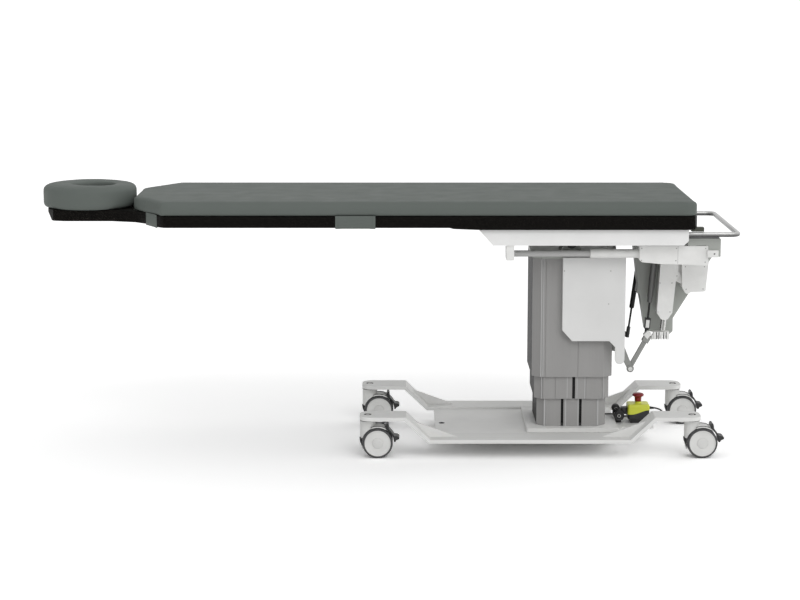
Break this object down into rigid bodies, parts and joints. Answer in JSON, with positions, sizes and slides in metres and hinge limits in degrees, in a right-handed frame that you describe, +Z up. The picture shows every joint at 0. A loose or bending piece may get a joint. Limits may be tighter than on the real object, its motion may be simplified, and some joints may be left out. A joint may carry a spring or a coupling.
{
  "type": "operating table",
  "caption": "Imaging operating table with a cantilevered carbon top on a telescopic column that lifts, tilts, rolls and slides it, on a braked caster base.",
  "frame": {"origin": "on the floor under the middle of the table's box", "axes": "+X from the head end to the foot end, -Y the side with the drives and the stop box bracket in view, +Z up"},
  "size_m": [2.2952, 0.6166, 0.877],
  "materials": {
    "base_paint": "satin light grey powder coat",
    "white_paint": "satin white powder coat",
    "column_grey": "grey anodised extrusion",
    "bracket_grey": "satin grey paint",
    "bright_steel": "bright ground steel and chrome",
    "drive_white": "moulded light grey",
    "carbon": "carbon fibre laminate over a light core",
    "pad_vinyl": "grey green vinyl over foam",
    "black_plastic": "moulded black",
    "caster_grey": "moulded light grey",
    "stop_yellow": "moulded yellow",
    "stop_red": "moulded red"
  },
  "bodies": {
    "base": {"near_side_rail": "base_paint", "far_side_rail": "base_paint", "base_pan": "base_paint", "column_plinth": "base_paint", "lower_column_stage": "column_grey", "lift_cylinder": "bright_steel", "stop_bracket": "black_plastic", "stop_box_base": "black_plastic", "stop_box_cover": "stop_yellow", "stop_lead": "black_plastic"},
    "middle_stage": {"middle_column_stage": "column_grey", "lift_middle_tube": "bright_steel"},
    "outer_stage": {"outer_column_stage": "column_grey", "lift_ram": "bright_steel", "column_head": "bracket_grey", "near_side_cover": "white_paint", "far_side_cover": "white_paint", "link_bracket": "bracket_grey", "tilt_pivot_pin": "bright_steel", "strut_pivot_pin": "bright_steel", "tilt_strut": "bracket_grey", "rod_yoke": "drive_white"},
    "tilt_frame": {"tilt_beam": "bracket_grey", "v_bracket": "bracket_grey", "roll_pivot_shaft": "bright_steel", "roll_actuator_housing": "drive_white"},
    "tilt_drive": {"tilt_actuator_housing": "drive_white"},
    "tilt_rod": {"tilt_actuator_rod": "bright_steel"},
    "near_spring": {"near_gas_spring_cylinder": "black_plastic"},
    "near_spring_rod": {"near_gas_spring_rod": "bright_steel"},
    "far_spring": {"far_gas_spring_cylinder": "black_plastic"},
    "far_spring_rod": {"far_gas_spring_rod": "bright_steel"},
    "cradle": {"roll_cradle": "bracket_grey", "foot_end_bracket": "bracket_grey", "slide_motor_box": "drive_white", "slide_actuator_tube": "drive_white"},
    "roll_rod": {"roll_actuator_rod": "bright_steel"},
    "top": {"slide_actuator_rod": "column_grey", "slide_lug": "drive_white", "near_top_rail": "white_paint", "far_top_rail": "white_paint", "carbon_top": "carbon", "mattress_pad": "pad_vinyl", "face_cushion": "pad_vinyl", "middle_strap": "pad_vinyl", "head_strap": "pad_vinyl", "push_handle": "bright_steel"},
    "stop_button": {"stop_button": "stop_red"},
    "head_near_swivel": {"head_near_caster_housing": "caster_grey"},
    "head_near_wheels": {"head_near_caster_wheels": "caster_grey"},
    "head_near_pedal": {"head_near_brake_pedal": "black_plastic"},
    "head_far_swivel": {"head_far_caster_housing": "caster_grey"},
    "head_far_wheels": {"head_far_caster_wheels": "caster_grey"},
    "head_far_pedal": {"head_far_brake_pedal": "black_plastic"},
    "foot_near_swivel": {"foot_near_caster_housing": "caster_grey"},
    "foot_near_wheels": {"foot_near_caster_wheels": "caster_grey"},
    "foot_near_pedal": {"foot_near_brake_pedal": "black_plastic"},
    "foot_far_swivel": {"foot_far_caster_housing": "caster_grey"},
    "foot_far_wheels": {"foot_far_caster_wheels": "caster_grey"},
    "foot_far_pedal": {"foot_far_brake_pedal": "black_plastic"}
  },
  "joints": [
    {"name": "column_lift", "type": "slide", "parent": "base", "child": "middle_stage", "axis": [0, 0, 1], "range_m": [-0.08, 0.145]},
    {"name": "column_lift_upper", "type": "slide", "parent": "middle_stage", "child": "outer_stage", "axis": [0, 0, 1], "range_m": [-0.0805, 0.1455]},
    {"name": "tilt", "type": "hinge", "parent": "outer_stage", "child": "tilt_frame", "pos_m": [0.621, 0, 0.68], "axis": [0, 1, 0], "range_deg": [-15, 6]},
    {"name": "tilt_drive_swing", "type": "hinge", "parent": "tilt_frame", "child": "tilt_drive", "pos_m": [0.955, -0.073, 0.66], "axis": [0, 1, 0], "range_deg": [-6, 14]},
    {"name": "tilt_drive_extend", "type": "slide", "parent": "tilt_drive", "child": "tilt_rod", "axis": [-0.1029, 0, -0.9947], "range_m": [-0.0355, 0.088]},
    {"name": "near_spring_swing", "type": "hinge", "parent": "tilt_frame", "child": "near_spring", "pos_m": [0.899, -0.07, 0.668], "axis": [0, 1, 0], "range_deg": [-6, 14]},
    {"name": "near_spring_extend", "type": "slide", "parent": "near_spring", "child": "near_spring_rod", "axis": [-0.085, 0, -0.9964], "range_m": [-0.0295, 0.0728]},
    {"name": "far_spring_swing", "type": "hinge", "parent": "tilt_frame", "child": "far_spring", "pos_m": [0.865, 0.056, 0.655], "axis": [0, 1, 0], "range_deg": [-6, 14]},
    {"name": "far_spring_extend", "type": "slide", "parent": "far_spring", "child": "far_spring_rod", "axis": [-0.13, 0, -0.9915], "range_m": [-0.0262, 0.0648]},
    {"name": "roll", "type": "hinge", "parent": "tilt_frame", "child": "cradle", "pos_m": [0.621, 0, 0.715], "axis": [1, 0, 0], "range_deg": [-15, 15]},
    {"name": "roll_drive_extend", "type": "slide", "parent": "tilt_frame", "child": "roll_rod", "axis": [0, 0, 1], "range_m": [-0.032, 0.032]},
    {"name": "top_slide", "type": "slide", "parent": "cradle", "child": "top", "axis": [1, 0, 0], "range_m": [0, 0.23]},
    {"name": "stop_button_press", "type": "slide", "parent": "base", "child": "stop_button", "axis": [0, 0, -1], "range_m": [0, 0.003], "stiffness_N_per_m": 900},
    {"name": "head_near_swivel", "type": "hinge", "parent": "base", "child": "head_near_swivel", "pos_m": [-0.057, -0.2555, 0.1285], "axis": [0, 0, 1], "continuous": true},
    {"name": "head_near_roll", "type": "hinge", "parent": "head_near_swivel", "child": "head_near_wheels", "pos_m": [-0.0245, -0.2555, 0.05], "axis": [0, 1, 0], "continuous": true},
    {"name": "head_near_brake", "type": "hinge", "parent": "head_near_swivel", "child": "head_near_pedal", "pos_m": [0.00668, -0.2555, 0.068], "axis": [0, 1, 0], "range_deg": [0, 5]},
    {"name": "head_far_swivel", "type": "hinge", "parent": "base", "child": "head_far_swivel", "pos_m": [-0.057, 0.2555, 0.1285], "axis": [0, 0, 1], "continuous": true},
    {"name": "head_far_roll", "type": "hinge", "parent": "head_far_swivel", "child": "head_far_wheels", "pos_m": [-0.0245, 0.2555, 0.05], "axis": [0, 1, 0], "continuous": true},
    {"name": "head_far_brake", "type": "hinge", "parent": "head_far_swivel", "child": "head_far_pedal", "pos_m": [0.00668, 0.2555, 0.068], "axis": [0, 1, 0], "range_deg": [0, 5]},
    {"name": "foot_near_swivel", "type": "hinge", "parent": "base", "child": "foot_near_swivel", "pos_m": [1.008, -0.2555, 0.1285], "axis": [0, 0, 1], "continuous": true},
    {"name": "foot_near_roll", "type": "hinge", "parent": "foot_near_swivel", "child": "foot_near_wheels", "pos_m": [1.0405, -0.2555, 0.05], "axis": [0, 1, 0], "continuous": true},
    {"name": "foot_near_brake", "type": "hinge", "parent": "foot_near_swivel", "child": "foot_near_pedal", "pos_m": [1.07168, -0.2555, 0.068], "axis": [0, 1, 0], "range_deg": [0, 5]},
    {"name": "foot_far_swivel", "type": "hinge", "parent": "base", "child": "foot_far_swivel", "pos_m": [1.008, 0.2555, 0.1285], "axis": [0, 0, 1], "continuous": true},
    {"name": "foot_far_roll", "type": "hinge", "parent": "foot_far_swivel", "child": "foot_far_wheels", "pos_m": [1.0405, 0.2555, 0.05], "axis": [0, 1, 0], "continuous": true},
    {"name": "foot_far_brake", "type": "hinge", "parent": "foot_far_swivel", "child": "foot_far_pedal", "pos_m": [1.07168, 0.2555, 0.068], "axis": [0, 1, 0], "range_deg": [0, 5]}
  ],
  "couplings": [
    {"joint": "column_lift_upper", "follows": "column_lift", "ratio": 1},
    {"joint": "tilt_drive_swing", "follows": "tilt", "ratio": -0.9},
    {"joint": "tilt_drive_extend", "follows": "tilt", "m_per_rad": -0.334},
    {"joint": "near_spring_swing", "follows": "tilt", "ratio": -0.9},
    {"joint": "near_spring_extend", "follows": "tilt", "m_per_rad": -0.275},
    {"joint": "far_spring_swing", "follows": "tilt", "ratio": -0.9},
    {"joint": "far_spring_extend", "follows": "tilt", "m_per_rad": -0.245},
    {"joint": "roll_drive_extend", "follows": "roll", "m_per_rad": 0.12}
  ]
}
